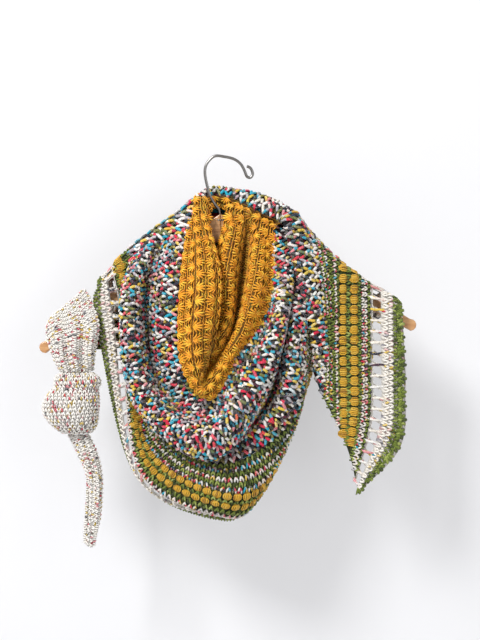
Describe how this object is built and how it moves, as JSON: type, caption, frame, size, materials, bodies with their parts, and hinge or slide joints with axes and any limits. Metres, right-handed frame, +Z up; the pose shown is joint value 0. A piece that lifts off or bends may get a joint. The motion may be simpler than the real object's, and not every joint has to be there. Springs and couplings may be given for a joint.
{
  "type": "shawl on clothes hanger",
  "caption": "Crocheted triangular shawl in gold, mixed yarn, green and cream, wound round a wooden clothes hanger with a wire hook",
  "frame": {"origin": "inside top of the wire hook's bend, where the hanger hangs on its rail or peg", "axes": "+Z up, +X to the viewer's right along the hanger, +Y away from the viewer"},
  "size_m": [0.4415, 0.1192, 0.4595],
  "materials": {
    "gold_yarn": "matt",
    "mixed_yarn": "matt",
    "stripe_yarn": "matt",
    "cream_yarn": "matt",
    "wood": "satin",
    "steel": "satin"
  },
  "bodies": {
    "root": {"hanger_left_arm": "wood", "hanger_right_arm": "wood", "hook": "steel", "front_gold": "gold_yarn", "front_body": "mixed_yarn", "front_stripes": "stripe_yarn", "front_lace": "cream_yarn", "wrap_gold": "gold_yarn", "wrap_body": "mixed_yarn", "wrap_stripes": "stripe_yarn", "wrap_lace": "cream_yarn", "wing_body": "mixed_yarn", "wing_stripes": "stripe_yarn", "wing_lace": "cream_yarn", "under_layer": "mixed_yarn", "tail_upper": "cream_yarn", "tail_lower": "cream_yarn", "knot": "cream_yarn"}
  },
  "joints": []
}
